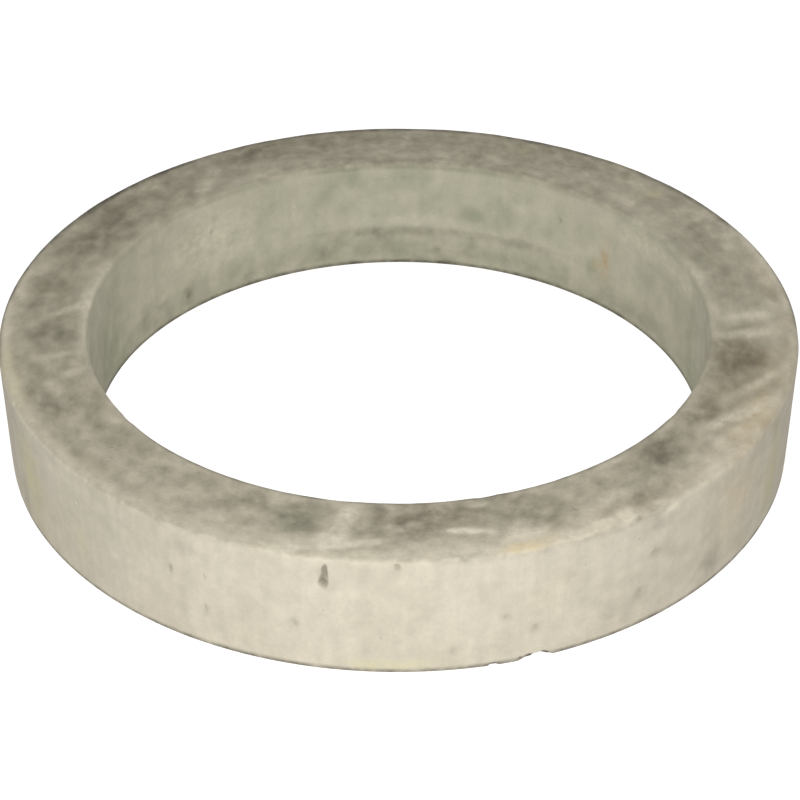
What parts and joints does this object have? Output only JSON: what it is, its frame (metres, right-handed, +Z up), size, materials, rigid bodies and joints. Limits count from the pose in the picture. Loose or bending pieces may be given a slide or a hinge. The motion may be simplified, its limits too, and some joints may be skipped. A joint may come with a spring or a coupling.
{
  "type": "concrete top ring",
  "caption": "Cast concrete ring with a straight round opening, level top and bottom faces and rounded edges, which raises the neck of a manhole or well to its cover.",
  "frame": {"origin": "on the ring's axis, in the plane of the bottom face", "axes": "+Z up along the ring's axis, from the bottom face to the top face; +X and +Y are any two directions across the ring, which is the same all round, and the picture looks along +Y"},
  "size_m": [0.7698, 0.7698, 0.125],
  "materials": {
    "concrete": "matte"
  },
  "bodies": {
    "root": {"top_ring": "concrete"}
  },
  "joints": []
}
